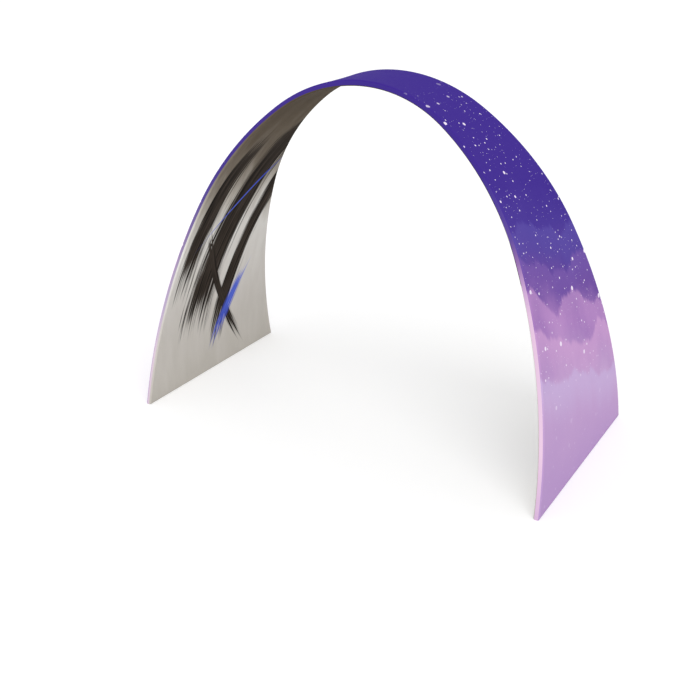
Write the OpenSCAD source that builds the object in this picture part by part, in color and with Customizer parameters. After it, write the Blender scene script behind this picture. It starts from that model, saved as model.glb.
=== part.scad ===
// Walk-through display arch: two bent tube hoops that lean towards each other, held apart by
// spreader tubes, under a stretch-fabric cover that zips along the back edge.
// Millimetres. Origin on the floor under the middle of the arch, +X along the span, +Y to the back.
//
// Each hoop lies in a plane that leans inwards. In that plane its centre line is a chain of
// tangent arcs: one crown arc, and on each side a haunch arc and a leg arc. A place on it is
// given by its clock angle, 0 at the crown and growing towards the foot.

/* [Arch outline] */
// Height of the hoop centre line at the crown, measured up the leaning plane
hoop_rise = 2495; // [2350:5:2650]
// Radius of the crown arc
crown_r = 1009; // [950:1:1060]
// Radius of the haunch arcs
haunch_r = 1902; // [1750:1:2050]
// Radius of the leg arcs
leg_r = 4024; // [3700:1:4400]
// Angle from the crown to the end of the crown arc
crown_half_angle = 36.5; // [34:0.5:39]
// Angle that each haunch arc turns through
haunch_angle = 29; // [27:0.5:31]
// Depth between the two hoop centre lines at floor level
floor_depth = 1560; // [1450:10:1700]
// Lean of each hoop from upright
lean = 12.87; // [10:0.01:13.5]

/* [Hoop tubes] */
// Outside diameter of the hoop and base tubes
tube_d = 38; // [36:0.5:42]
// Wall of the hoop and base tubes
tube_wall = 1.5; // [1.2:0.1:2]
// Wall of the swaged spigot
spigot_wall = 1.5; // [1.2:0.1:2]
// Length of the swaged spigot
spigot_length = 60; // [50:1:80]
// Length of the neck between tube and spigot
neck_length = 5; // [3:0.5:8]
// Radial clearance between a spigot and the bore it slides into
spigot_clearance = 0.1; // [0.05:0.05:0.25]

/* [Spreaders] */
// Outside diameter of the spreader tubes
spreader_d = 32; // [28:0.5:34]
// Wall of the spreader tubes
spreader_wall = 1.5; // [1.2:0.1:2]
// Wall of the stubs welded to the hoops
stub_wall = 1.5; // [1.2:0.1:2]
// Length of stub inside the spreader
stub_length = 60; // [50:1:80]
// Distance from a hoop centre line to the collar that a spreader butts against
collar_reach = 30; // [26:1:40]
// Clock angle of the haunch spreaders
haunch_spreader_angle = 51; // [46:1:55]
// Clock angle of the leg spreaders
leg_spreader_angle = 77; // [73:1:80]

/* [Snap buttons] */
// Diameter of a button
button_d = 8; // [6:0.5:9]
// How far a button stands out of the tube around it
button_rise = 5; // [3:0.5:6]
// Diameter of the flange that keeps a button in
button_flange_d = 11; // [10:0.5:12]
// Thickness of that flange
button_flange = 1.2; // [0.8:0.1:2]
// Radial clearance of a button in its holes
button_clearance = 0.08; // [0.05:0.01:0.1]
// Distance from a joint line or collar to the middle of its button
button_setback = 30; // [22:1:36]
// Diameter of the tail that locates a button in its spring
tail_d = 3; // [2:0.5:4]
// Width of the spring strip
spring_width = 7; // [6:0.5:9]
// Thickness of the spring strip
spring_strip = 0.6; // [0.4:0.1:1]
// Length of the spring from its bend to the button
spring_length = 36; // [30:1:40]

/* [Corner fittings] */
// Distance from the corner to the ends of the leg and base tubes
corner_reach = 27; // [26:1:35]
// Length of a corner fitting's spigots
corner_spigot = 55; // [45:1:70]
// Bore of those spigots
corner_bore = 26; // [20:1:28]
// Diameter of the set screws
set_screw_d = 6; // [5:1:8]
// Length of the set screws
set_screw_length = 6; // [5:0.5:7]
// Hexagon socket of the set screws, across its corners
set_screw_socket = 3.4; // [2.5:0.1:4]
// Clearance round the set screws
screw_clearance = 0.1; // [0.05:0.05:0.2]

/* [Cover] */
// Thickness of the stretch fabric
fabric = 0.5; // [0.4:0.1:0.8]
// Gap between the tubes and the fabric
fabric_gap = 0.3; // [0.3:0.05:0.5]
// Width of the flat turned hem that stands on the floor
hem_flat = 16; // [12:1:20]
// Straight facets along one crown half, haunch or leg of a panel
panel_facets = [13, 14, 18];
// Straight facets along one crown half, haunch or leg of a back edge strip
strip_facets = [18, 18, 20];
// Facets of a back edge strip round the tube
strip_sides = 4; // [3:1:8]

/* [Zip] */
// Width of the closed zip chain
chain_width = 5.8; // [5:0.1:6.5]
// Thickness of the zip chain
chain_thickness = 2.4; // [2:0.1:3]
// Thickness of a slider plate
slider_plate = 1; // [0.8:0.1:1.2]
// Gap between the slider plates and what lies beside them
slider_gap = 0.3; // [0.25:0.05:0.4]
// Length of a slider
slider_length = 12; // [10:0.5:16]
// Width of a slider at its mouth
slider_mouth = 10.4; // [10:0.1:11]
// Width of a slider at its tail
slider_tail = 8.6; // [8.2:0.1:9]
// Angle of the edge strip left bare for the zip, each side of its middle
zip_half_angle = 32; // [30:1:34]
// Thickness of the zip tape
tape = 0.5; // [0.4:0.1:0.7]
// Height of a closed slider above the floor, up the leaning plane
slider_height = 80; // [70:1:120]
// Length of a pull tab from its pin
pull_length = 32; // [24:1:40]
// Width of a pull tab
pull_width = 7; // [6:0.5:9]
// Thickness of a pull tab
pull_thickness = 1.2; // [1:0.1:1.2]
// Gap between the two zips at the crown
zip_parting = 24; // [16:1:40]

/* [Hidden] */
$fn = 48;
ROUND_FN = 48;
SWEEP_FN = 360;
// 1 in the short splices that cover the joints between arcs of a swept strip, otherwise 0
$splice = 0;
ALUMINIUM = "#b9bcc0";
CAST = "#8f9398";
STEEL = "#d0d2d4";
VIOLET = "#4a2f97";
GREY = "#b5aea7";
PINK = "#e6c6de";
ZIP = "#2b2440";

tube_r = tube_d / 2;
bore_r = tube_r - tube_wall;
spigot_r = bore_r - spigot_clearance;
spigot_bore_r = spigot_r - spigot_wall;
spreader_r = spreader_d / 2;
stub_r = spreader_r - spreader_wall - spigot_clearance;
stub_bore_r = stub_r - stub_wall;
button_r = button_d / 2;
button_hole_r = button_r + button_clearance;
flange_r = button_flange_d / 2;
tail_r = tail_d / 2;
button_round = 1.5;
seat_clearance = 0.15;
cut_past = 2;
ball_r = tube_r + fabric_gap / 2;
splice_half = 4;
splice_gap = 2;
splice_grow = 0.05;
splice_lift = 0.3;

// Clock angles at which one arc gives way to the next
crown_end = crown_half_angle;
haunch_end = crown_half_angle + haunch_angle;

// Centres of the three arcs in the hoop's plane, as across and up
crown_c = [0, hoop_rise - crown_r];
haunch_c = crown_c - (haunch_r - crown_r) * clock(crown_end);
leg_c = haunch_c - (leg_r - haunch_r) * clock(haunch_end);

// The base tubes lie in the hem, and the hoops end on their centre line
strip_r = tube_r + fabric_gap;
cover_r = strip_r + fabric;
base_z = cover_r;
base_v = base_z / cos(lean);
foot_angle = acos((base_v - leg_c[1]) / leg_r);
foot_x = hoop_point(foot_angle)[0];
half_depth = floor_depth / 2;
foot_y = half_depth - base_z * tan(lean);
leg_tube_end = foot_angle - turn(corner_reach, leg_r);

// Zip levels, measured outwards from the hoop's plane
chain_low = tube_r + slider_gap + slider_plate + slider_gap;
chain_mid = chain_low + chain_thickness / 2;
chain_high = chain_low + chain_thickness;
slider_high = chain_high + slider_gap + slider_plate;
pin_r = 0.6;
pin_level = slider_high + slider_gap + pull_thickness / 2;
pin_place = slider_length / 8;
bail_width = 1.6;
bail_r = 1.5;
mouth_round = 1.5;
lip_depth = 0.9;
post_width = 1.6;
post_length = 2;
fork_arm = 1.2;
pull_slot = 2.6;
slider_angle = acos((slider_height - leg_c[1]) / leg_r);
stop_length = 2.5;

SIDES = [1, -1];
ENDS = ["front", "back"];

// Unit direction of a clock angle, as across and up
function clock(a) = [sin(a), cos(a)];

// Point of the hoop centre line at a clock angle
function hoop_point(a) =
    a <= crown_end ? crown_c + crown_r * clock(a) :
    a <= haunch_end ? haunch_c + haunch_r * clock(a) :
    leg_c + leg_r * clock(a);

// Clock angle that a length takes on an arc
function turn(length, r) = length / r * 180 / PI;

// Point of the arch as seen from the front, a distance outside the hoop centre line
function seen_point(a, out) =
    let (p = hoop_point(a), n = [sin(a) * cos(lean), cos(a)])
    [p[0], p[1] * cos(lean)] + out * n / norm(n);

// Rise of an arc over one of its panel facets
function facet_rise(r, angle, count) = r * (1 - cos(angle / count / 2));
panel_rise = max(
    facet_rise(crown_r, crown_end, panel_facets[0]),
    facet_rise(haunch_r, haunch_angle, panel_facets[1]),
    facet_rise(leg_r, foot_angle - haunch_end, panel_facets[2])
);

// Places a child built in the hoop's plane: X across, Y up the plane, Z outwards
module hoop_plane(end) {
    mirror([0, end == "back" ? 1 : 0, 0])
        translate([0, -half_depth, 0])
            rotate([90 - lean, 0, 0])
                children();
}

// Children are built on the right, and mirrored for the left
module on_side(side) {
    mirror([side < 0 ? 1 : 0, 0, 0])
        children();
}

// Carries a cross section along one arc between two clock angles
module along_arc(centre, r, from, to) {
    translate([centre[0], centre[1], 0])
        rotate([0, 0, 90 - to])
            rotate_extrude(angle = to - from, $fn = SWEEP_FN)
                translate([r, 0], $fn = ROUND_FN)
                    children();
}

module along_crown(from, to) {
    along_arc(crown_c, crown_r, from, to)
        children();
}

module along_haunch(from, to) {
    along_arc(haunch_c, haunch_r, from, to)
        children();
}

module along_leg(from, to) {
    along_arc(leg_c, leg_r, from, to)
        children();
}

// Short length that laps over the joint where one arc of a swept strip gives way to the next
module splice(centre, r, a) {
    along_arc(centre, r, a - turn(splice_half, r), a + turn(splice_half, r), $splice = 1)
        children();
}

// Carries a cross section down the haunch and leg of a hoop
module along_side(to) {
    splice(crown_c, crown_r, crown_end)
        children();
    along_haunch(crown_end + turn(splice_gap, haunch_r), haunch_end - turn(splice_gap, haunch_r))
        children();
    splice(haunch_c, haunch_r, haunch_end)
        children();
    along_leg(haunch_end + turn(splice_gap, leg_r), to)
        children();
}

// Carries a cross section from near the crown to the foot, on one side
module along_half(from, to) {
    along_crown(from, crown_end - turn(splice_gap, crown_r))
        children();
    along_side(to)
        children();
}

// Carries a cross section along the whole hoop, foot to foot
module along_hoop(to) {
    inner_end = crown_end - turn(splice_gap, crown_r);
    along_crown(-inner_end, inner_end)
        children();
    for (side = SIDES)
        on_side(side)
            along_side(to)
                children();
}

module ring(outer, inner) {
    difference() {
        circle(outer);
        circle(inner);
    }
}

module tube_section() {
    ring(tube_r, bore_r);
}

// Snap button frame inside a hoop joint: X along the spigot, Z out through the walls
module at_hoop_button(joint_angle, r) {
    a = joint_angle - turn(button_setback, r);
    p = hoop_point(a);
    translate([p[0], p[1], 0])
        rotate([0, 0, 180 - a])
            rotate([180, 0, 0])
                children();
}

// Snap button frame inside a welded stub of the front hoop
module at_stub_button(a) {
    p = hoop_point(a);
    towards_crown = [-cos(a), sin(a) * cos(lean)];
    translate([p[0], -half_depth + p[1] * sin(lean) + collar_reach + button_setback, p[1] * cos(lean)])
        rotate([0, atan2(towards_crown[0], towards_crown[1]), 0])
            rotate([0, 0, 90])
                children();
}

module button_hole() {
    cylinder(r = button_hole_r, h = tube_d);
}

// Puts children at an end of the arch, front or back
module at_end(end) {
    mirror([0, end == "back" ? 1 : 0, 0])
        children();
}

// Welded stub for a spreader, coped to the hoop tube, in the hoop's plane
module stub(a) {
    p = hoop_point(a);
    translate([p[0], p[1], 0])
        rotate([lean, 0, 0])
            mirror([0, 0, 1])
                difference() {
                    union() {
                        cylinder(r = spreader_r, h = collar_reach);
                        cylinder(r = stub_r, h = collar_reach + stub_length);
                    }
                    cylinder(r = stub_bore_r, h = collar_reach + stub_length + cut_past);
                }
}

// Removes from a stub what would stand inside the tube it is welded to
module coped(centre, r, a) {
    half = turn(tube_d, r);
    difference() {
        stub(a);
        along_arc(centre, r, a - half, a + half)
            circle(tube_r - tube_wall / 2);
    }
}

// Hole for a stub's button, cut in the world frame and so brought into the hoop's plane
module stub_button_cut(a) {
    rotate([lean - 90, 0, 0])
        translate([0, half_depth, 0])
            at_stub_button(a)
                button_hole();
}

module crown_tube(end) {
    color(ALUMINIUM)
        hoop_plane(end)
            difference() {
                union() {
                    along_crown(-crown_end, crown_end)
                        tube_section();
                    coped(crown_c, crown_r, 0);
                }
                for (side = SIDES)
                    on_side(side)
                        at_hoop_button(crown_end, crown_r)
                            button_hole();
                stub_button_cut(0);
            }
}

module haunch_tube(end, side) {
    color(ALUMINIUM)
        on_side(side)
            hoop_plane(end)
                difference() {
                    union() {
                        along_haunch(crown_end, haunch_end)
                            circle(tube_r);
                        along_crown(crown_end - turn(spigot_length, crown_r),
                            crown_end + turn(neck_length / 2, crown_r))
                            circle(spigot_r);
                        coped(haunch_c, haunch_r, haunch_spreader_angle);
                    }
                    along_haunch(crown_end + turn(neck_length, haunch_r),
                        haunch_end + turn(cut_past, haunch_r))
                        circle(bore_r);
                    along_crown(crown_end - turn(spigot_length + cut_past, crown_r),
                        crown_end + turn(neck_length + cut_past, crown_r))
                        circle(spigot_bore_r);
                    at_hoop_button(crown_end, crown_r)
                        button_hole();
                    at_hoop_button(haunch_end, haunch_r)
                        button_hole();
                    stub_button_cut(haunch_spreader_angle);
                }
}

module leg_tube(end, side) {
    color(ALUMINIUM)
        on_side(side)
            hoop_plane(end)
                difference() {
                    union() {
                        along_leg(haunch_end, leg_tube_end)
                            circle(tube_r);
                        along_haunch(haunch_end - turn(spigot_length, haunch_r),
                            haunch_end + turn(neck_length / 2, haunch_r))
                            circle(spigot_r);
                        coped(leg_c, leg_r, leg_spreader_angle);
                    }
                    along_leg(haunch_end + turn(neck_length, leg_r),
                        leg_tube_end + turn(cut_past, leg_r))
                        circle(bore_r);
                    along_haunch(haunch_end - turn(spigot_length + cut_past, haunch_r),
                        haunch_end + turn(neck_length + cut_past, haunch_r))
                        circle(spigot_bore_r);
                    at_hoop_button(haunch_end, haunch_r)
                        button_hole();
                    stub_button_cut(leg_spreader_angle);
                    at_leg_screw()
                        screw_hole();
                }
}

// Spreader tube between the front and back stubs at one clock angle
module spreader(a, side) {
    p = hoop_point(a);
    reach = half_depth - p[1] * sin(lean) - collar_reach;
    color(ALUMINIUM)
        on_side(side)
            difference() {
                translate([p[0], reach, p[1] * cos(lean)])
                    rotate([90, 0, 0])
                        linear_extrude(2 * reach)
                            ring(spreader_r, spreader_r - spreader_wall);
                for (end = ENDS)
                    at_end(end)
                        at_stub_button(a)
                            button_hole();
            }
}

// Set screw frames of a front corner: Z points out through the walls
module at_leg_screw() {
    a = foot_angle - turn(corner_reach + corner_spigot / 2, leg_r);
    p = hoop_point(a);
    translate([p[0], p[1], 0])
        rotate([180, 0, 0])
            children();
}

module at_base_screw() {
    translate([foot_x, -foot_y + corner_reach + corner_spigot / 2, base_z])
        children();
}

module screw_hole() {
    cylinder(r = set_screw_d / 2 + screw_clearance, h = tube_d);
}

module base_tube(side) {
    color(ALUMINIUM)
        on_side(side)
            difference() {
                translate([foot_x, foot_y - corner_reach, base_z])
                    rotate([90, 0, 0])
                        linear_extrude(2 * (foot_y - corner_reach))
                            tube_section();
                for (end = ENDS)
                    at_end(end)
                        at_base_screw()
                            screw_hole();
            }
}

// Cast elbow in the foot: a ball end with a spigot up the leg and one along the base tube
module corner(end, side) {
    leg_to = leg_tube_end - turn(corner_spigot, leg_r);
    color(CAST)
        on_side(side)
            at_end(end)
                difference() {
                    union() {
                        translate([foot_x, -foot_y, base_z]) {
                            sphere(ball_r);
                            rotate([-90, 0, 0]) {
                                cylinder(r = tube_r, h = corner_reach);
                                cylinder(r = spigot_r, h = corner_reach + corner_spigot);
                            }
                        }
                        hoop_plane("front") {
                            along_leg(leg_tube_end, foot_angle)
                                circle(tube_r);
                            along_leg(leg_to, foot_angle)
                                circle(spigot_r);
                        }
                    }
                    translate([foot_x, -foot_y + corner_reach, base_z])
                        rotate([-90, 0, 0])
                            cylinder(d = corner_bore, h = corner_spigot + cut_past);
                    hoop_plane("front") {
                        along_leg(leg_to - turn(cut_past, leg_r), leg_tube_end)
                            circle(d = corner_bore);
                        at_leg_screw()
                            screw_hole();
                    }
                    at_base_screw()
                        screw_hole();
                }
}

// Grub screw, its outer end just under the tube's surface
module set_screw() {
    top = sqrt(pow(tube_r, 2) - pow(set_screw_d / 2, 2)) - seat_clearance;
    translate([0, 0, top - set_screw_length])
        difference() {
            cylinder(d = set_screw_d, h = set_screw_length);
            translate([0, 0, set_screw_length / 2])
                cylinder(d = set_screw_socket, h = set_screw_length, $fn = 6);
        }
}

module corner_set_screws() {
    color(STEEL)
        for (side = SIDES, end = ENDS)
            on_side(side)
                at_end(end) {
                    at_base_screw()
                        set_screw();
                    hoop_plane("front")
                        at_leg_screw()
                            set_screw();
                }
}

// Level of a button's flange under the wall of the bore it sits in
function flange_top(bore) = sqrt(pow(bore, 2) - pow(flange_r, 2)) - seat_clearance;

// Button with a rounded top, a flange and a tail, in its own frame
module snap_button(bore, outside) {
    top = outside + button_rise;
    seat = flange_top(bore);
    color(STEEL) {
        rotate_extrude()
            translate([0, seat - button_flange]) {
                square([button_r - button_round, top - seat + button_flange]);
                square([button_r, top - seat + button_flange - button_round]);
                translate([button_r - button_round, top - seat + button_flange - button_round])
                    circle(button_round);
                square([flange_r, button_flange]);
                translate([0, -spring_strip])
                    square([tail_r, 2 * spring_strip]);
            }
    }
}

// One leg of a bent strip, from one point to another, its ends round
module strip_leg(from, to) {
    along = (to - from) / norm(to - from);
    across = [-along[1], along[0]] * spring_strip / 2;
    polygon([from + across, to + across, to - across, from - across]);
    translate(to)
        circle(spring_strip / 2);
}

// V-shaped leaf spring: one leg carries the button, the other bears on the far wall
module snap_spring(bore) {
    seat = flange_top(bore) - button_flange - spring_strip / 2;
    heel = sqrt(pow(bore, 2) - pow(spring_width / 2, 2)) - spring_strip / 2 - seat_clearance;
    bend = [-spring_length, 0];
    difference() {
        rotate([90, 0, 0])
            linear_extrude(spring_width, center = true) {
                translate(bend)
                    circle(spring_strip / 2);
                strip_leg(bend, [-flange_r, seat]);
                strip_leg([-flange_r, seat], [flange_r, seat]);
                strip_leg(bend, [flange_r, -heel]);
            }
        cylinder(r = tail_r + screw_clearance, h = tube_r);
    }
}

module snap_springs() {
    color(STEEL)
        for (end = ENDS) {
            for (side = SIDES) {
                on_side(side)
                    hoop_plane(end) {
                        at_hoop_button(crown_end, crown_r)
                            snap_spring(spigot_bore_r);
                        at_hoop_button(haunch_end, haunch_r)
                            snap_spring(spigot_bore_r);
                    }
                on_side(side)
                    at_end(end) {
                        at_stub_button(haunch_spreader_angle)
                            snap_spring(stub_bore_r);
                        at_stub_button(leg_spreader_angle)
                            snap_spring(stub_bore_r);
                    }
            }
            at_end(end)
                at_stub_button(0)
                    snap_spring(stub_bore_r);
        }
}

module hoop_button(end, side, joint_angle, r) {
    on_side(side)
        hoop_plane(end)
            at_hoop_button(joint_angle, r)
                snap_button(spigot_bore_r, tube_r);
}

module stub_button(end, side, a) {
    on_side(side)
        at_end(end)
            at_stub_button(a)
                snap_button(stub_bore_r, spreader_r);
}

// Clock angles at the corners of facets, from the crown down to an angle on the leg
function facet_angles(counts, to) = concat(
    [for (i = [0 : counts[0] - 1]) crown_end * i / counts[0]],
    [for (i = [0 : counts[1] - 1]) crown_end + haunch_angle * i / counts[1]],
    [for (i = [0 : counts[2]]) haunch_end + (to - haunch_end) * i / counts[2]]
);

// Outline of a panel seen from the front: a band between two distances from the centre line
module panel_band(near, far) {
    angles = facet_angles(panel_facets, foot_angle + 1);
    last = len(angles) - 1;
    right = [for (a = angles) seen_point(a, far)];
    left = [for (i = [last : -1 : 1]) [-right[i][0], right[i][1]]];
    under_right = [for (i = [last : -1 : 0]) seen_point(angles[i], near)];
    under_left = [for (i = [1 : last]) [-seen_point(angles[i], near)[0], seen_point(angles[i], near)[1]]];
    polygon(concat(left, right, under_right, under_left));
}

// Space between the planes of the two hoops, from a level upwards
module between_hoops(level) {
    top = hoop_rise;
    low = half_depth - level * tan(lean);
    high = half_depth - top * tan(lean);
    rotate([90, 0, 90])
        linear_extrude(4 * foot_x, center = true)
            polygon([[-low, level], [low, level], [high, top], [-high, top]]);
}

module panel(near, far) {
    intersection() {
        rotate([90, 0, 0])
            linear_extrude(2 * floor_depth, center = true)
                panel_band(near, far);
        between_hoops(base_z);
    }
}

// Printed outside of the cover
module outer_panel() {
    color(VIOLET)
        panel(strip_r + panel_rise, cover_r + panel_rise);
}

// Printed inside of the cover, which lines the walkway
module inner_panel() {
    color(GREY)
        panel(-cover_r, -strip_r);
}

// Half round that the front edge strip takes round its tube
module strip_section() {
    lift = $splice * splice_lift;
    intersection() {
        ring(cover_r + lift, strip_r + lift);
        polygon(2 * cover_r * [[0, 0], [1, 0], [0, 1], [-1, 0]]);
    }
}

module front_edge_strip() {
    color(PINK)
        intersection() {
            hoop_plane("front")
                along_hoop(foot_angle + turn(2 * cover_r, leg_r))
                    strip_section();
            translate([-2 * foot_x, -floor_depth, 0])
                cube([4 * foot_x, 2 * floor_depth, 2 * hoop_rise]);
        }
}

// Point a distance from the hoop centre line, at an angle round the tube
function strip_corner(a, r, around) =
    let (p = hoop_point(a) + r * cos(around) * clock(a))
    [p[0], p[1], r * sin(around)];

// Clock angle at which the line of such points meets the floor
function floor_angle(r, around) =
    acos((-leg_c[1] - r * sin(around) * tan(lean)) / (leg_r + r * cos(around)));

// One half of the back edge strip, between two angles round the tube. Its outside and inside have
// the same facets, so that the thin fabric keeps its thickness all along.
module back_edge_strip(from, to) {
    angles = facet_angles(strip_facets, foot_angle);
    last = len(angles) - 1;
    step = (to - from) / strip_sides;
    section = concat(
        [for (i = [0 : strip_sides]) [cover_r / cos(step / 2), from + step * i]],
        [for (i = [strip_sides : -1 : 0]) [strip_r / cos(step / 2), from + step * i]]
    );
    size = len(section);
    points = [
        for (k = [-last : last], c = section)
            let (a = abs(k) < last ? angles[abs(k)] : floor_angle(c[0], c[1]))
            let (p = strip_corner(a, c[0], c[1]))
            [k < 0 ? -p[0] : p[0], p[1], p[2]]
    ];
    skins = [
        for (k = [0 : 2 * last - 1], i = [0 : size - 1])
            let (here = k * size, next = here + size, j = (i + 1) % size)
            [here + i, next + i, next + j, here + j]
    ];
    first_end = [for (i = [0 : strip_sides - 1]) [i, i + 1, size - 2 - i, size - 1 - i]];
    last_end = [for (f = first_end) [for (i = [3 : -1 : 0]) f[i] + 2 * last * size]];
    color(VIOLET)
        hoop_plane("back")
            polyhedron(points, concat(skins, first_end, last_end));
}

module back_outer_edge_strip() {
    back_edge_strip(0, 90 - zip_half_angle);
}

module back_inner_edge_strip() {
    back_edge_strip(90 + zip_half_angle, 180);
}

// Lower edge of the cover round a base tube, with a turned hem that stands flat on the floor
module hem(side) {
    color(PINK)
        on_side(side)
            intersection() {
                translate([foot_x, 0, base_z])
                    rotate([90, 0, 0])
                        linear_extrude(2 * floor_depth, center = true)
                            difference() {
                                union() {
                                    circle(cover_r);
                                    translate([-hem_flat / 2, -cover_r])
                                        square([hem_flat, cover_r]);
                                }
                                circle(strip_r);
                                translate([-tube_d, 0])
                                    square([2 * tube_d, tube_d]);
                            }
                between_hoops(0);
            }
}

// Zip tapes run from the cut edges of the strip to the chain, clear of the tube
tape_foot = (strip_r + fabric / 2) * [sin(zip_half_angle), cos(zip_half_angle)];
tape_head = [chain_width / 2 + slider_gap, chain_mid];
tape_from = zip_parting / 2;
tape_end_angle = foot_angle - turn(cover_r / 2, leg_r);

module tape_section() {
    along = (tape_head - tape_foot) / norm(tape_head - tape_foot);
    grow = $splice * splice_grow;
    across = [-along[1], along[0]] * (tape / 2 + grow);
    start = tape_foot + along * (slider_gap - grow);
    head = tape_head + along * grow;
    for (flip = [0, 1])
        mirror([flip, 0])
            polygon([start + across, head + across, head - across, start - across]);
}

module zip_tapes(side) {
    color(ZIP)
        on_side(side)
            hoop_plane("back")
                along_half(turn(tape_from, crown_r), tape_end_angle)
                    tape_section();
}

// Closed coil of the zip, rounded at both edges
module chain_section() {
    edge = chain_thickness / 2;
    grow = $splice * splice_grow;
    square([chain_width - 2 * edge, chain_thickness + 2 * grow], center = true);
    for (s = SIDES)
        translate([s * (chain_width / 2 - edge), 0])
            circle(edge + grow);
}

// The chain runs from its stop at the crown into the mouth of the closed slider
module zip_chain(side) {
    color(ZIP)
        on_side(side)
            hoop_plane("back")
                along_half(turn(tape_from + 2 * stop_length, crown_r),
                    slider_angle + turn(slider_length / 4 - slider_gap, leg_r))
                    translate([0, chain_mid])
                        chain_section();
}

module stop_section() {
    translate([0, chain_mid])
        square([chain_width + slider_gap, chain_thickness], center = true);
}

module top_stop_section() {
    for (flip = [0, 1])
        mirror([flip, 0])
            translate([chain_width / 4, chain_low])
                square([chain_width / 4, chain_thickness]);
}

// A bottom stop across each chain at the crown, and a pair of top stops below each slider
module zip_stops() {
    below = slider_angle + turn(slider_length / 2 + slider_gap, leg_r);
    color(STEEL)
        hoop_plane("back")
            for (side = SIDES)
                on_side(side) {
                    along_crown(turn(tape_from + stop_length, crown_r),
                        turn(tape_from + 2 * stop_length - slider_gap / 2, crown_r))
                        stop_section();
                    along_leg(below, below + turn(stop_length, leg_r))
                        top_stop_section();
                }
}

// Slider frame on a leg: X across the zip, Y down towards the mouth, Z outwards
module at_slider(side) {
    p = hoop_point(slider_angle);
    on_side(side)
        hoop_plane("back")
            translate([p[0], p[1], 0])
                rotate([0, 0, -90 - slider_angle])
                    children();
}

// Slider seen from outside: narrow at the tail, wide and rounded at the mouth
module slider_outline() {
    half = slider_length / 2;
    mouth = slider_mouth / 2;
    tail = slider_tail / 2;
    polygon([
        [-tail, -half], [tail, -half], [mouth, half - mouth_round], [mouth - mouth_round, half],
        [mouth_round - mouth, half], [-mouth, half - mouth_round]
    ]);
    for (s = SIDES)
        translate([s * (mouth - mouth_round), half - mouth_round])
            circle(mouth_round);
}

// Two plates joined by a post between the chain halves, side lips, and a lug for the pull
module zip_slider(side) {
    channel = chain_width + 2 * slider_gap;
    color(STEEL)
        at_slider(side) {
            translate([0, 0, chain_low - slider_gap - slider_plate])
                linear_extrude(slider_plate)
                    intersection() {
                        slider_outline();
                        square([slider_tail, slider_length], center = true);
                    }
            translate([0, 0, chain_high + slider_gap])
                linear_extrude(slider_plate)
                    slider_outline();
            translate([0, 0, chain_high + slider_gap - lip_depth])
                linear_extrude(lip_depth)
                    difference() {
                        slider_outline();
                        square([channel, 2 * slider_length], center = true);
                    }
            translate([-post_width / 2, slider_length / 4, chain_low - slider_gap])
                cube([post_width, post_length, chain_thickness + 2 * slider_gap]);
            translate([-bail_width / 2, 0, 0])
                rotate([90, 0, 90])
                    linear_extrude(bail_width)
                        difference() {
                            union() {
                                translate([pin_place, pin_level])
                                    circle(bail_r);
                                translate([pin_place - bail_r, slider_high - slider_plate / 2])
                                    square([2 * bail_r, pin_level - slider_high + slider_plate / 2]);
                            }
                            translate([pin_place, pin_level])
                                circle(pin_r + button_clearance);
                        }
        }
}

// Pull tab hanging from its pin: a fork round the lug, and a slotted blade
module zip_pull(side) {
    fork_inside = bail_width / 2 + slider_gap;
    fork_width = 2 * (fork_inside + fork_arm);
    blade_start = pin_place + bail_r + slider_gap;
    blade_end = pin_place + pull_length - pull_width / 2;
    color(STEEL)
        at_slider(side) {
            translate([-fork_width / 2, pin_place, pin_level])
                rotate([0, 90, 0])
                    cylinder(r = pin_r, h = fork_width);
            translate([0, 0, pin_level - pull_thickness / 2])
                linear_extrude(pull_thickness)
                    difference() {
                        union() {
                            translate([-fork_width / 2, pin_place])
                                square([fork_width, blade_end - pin_place]);
                            translate([-pull_width / 2, blade_start + fork_arm])
                                square([pull_width, blade_end - blade_start - fork_arm]);
                            translate([0, blade_end])
                                circle(d = pull_width);
                        }
                        translate([-fork_inside, pin_place - bail_r])
                            square([2 * fork_inside, blade_start - pin_place + bail_r]);
                        translate([0, blade_end])
                            circle(d = pull_slot);
                        translate([-pull_slot / 2, blade_start + 3 * fork_arm])
                            square([pull_slot, blade_end - blade_start - 3 * fork_arm]);
                    }
        }
}

crown_tube("front");  // front_crown_tube
haunch_tube("front", -1);  // front_left_haunch_tube
haunch_tube("front", 1);  // front_right_haunch_tube
leg_tube("front", -1);  // front_left_leg_tube
leg_tube("front", 1);  // front_right_leg_tube
crown_tube("back");  // back_crown_tube
haunch_tube("back", -1);  // back_left_haunch_tube
haunch_tube("back", 1);  // back_right_haunch_tube
leg_tube("back", -1);  // back_left_leg_tube
leg_tube("back", 1);  // back_right_leg_tube
spreader(0, 1);  // crown_spreader
spreader(haunch_spreader_angle, -1);  // left_haunch_spreader
spreader(haunch_spreader_angle, 1);  // right_haunch_spreader
spreader(leg_spreader_angle, -1);  // left_leg_spreader
spreader(leg_spreader_angle, 1);  // right_leg_spreader
base_tube(-1);  // left_base_tube
base_tube(1);  // right_base_tube
corner("front", -1);  // front_left_corner
corner("front", 1);  // front_right_corner
corner("back", -1);  // back_left_corner
corner("back", 1);  // back_right_corner
corner_set_screws();
snap_springs();
hoop_button("front", -1, crown_end, crown_r);  // front_left_crown_button
hoop_button("front", 1, crown_end, crown_r);  // front_right_crown_button
hoop_button("front", -1, haunch_end, haunch_r);  // front_left_haunch_button
hoop_button("front", 1, haunch_end, haunch_r);  // front_right_haunch_button
hoop_button("back", -1, crown_end, crown_r);  // back_left_crown_button
hoop_button("back", 1, crown_end, crown_r);  // back_right_crown_button
hoop_button("back", -1, haunch_end, haunch_r);  // back_left_haunch_button
hoop_button("back", 1, haunch_end, haunch_r);  // back_right_haunch_button
stub_button("front", 1, 0);  // front_crown_stub_button
stub_button("front", -1, haunch_spreader_angle);  // front_left_haunch_stub_button
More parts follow.
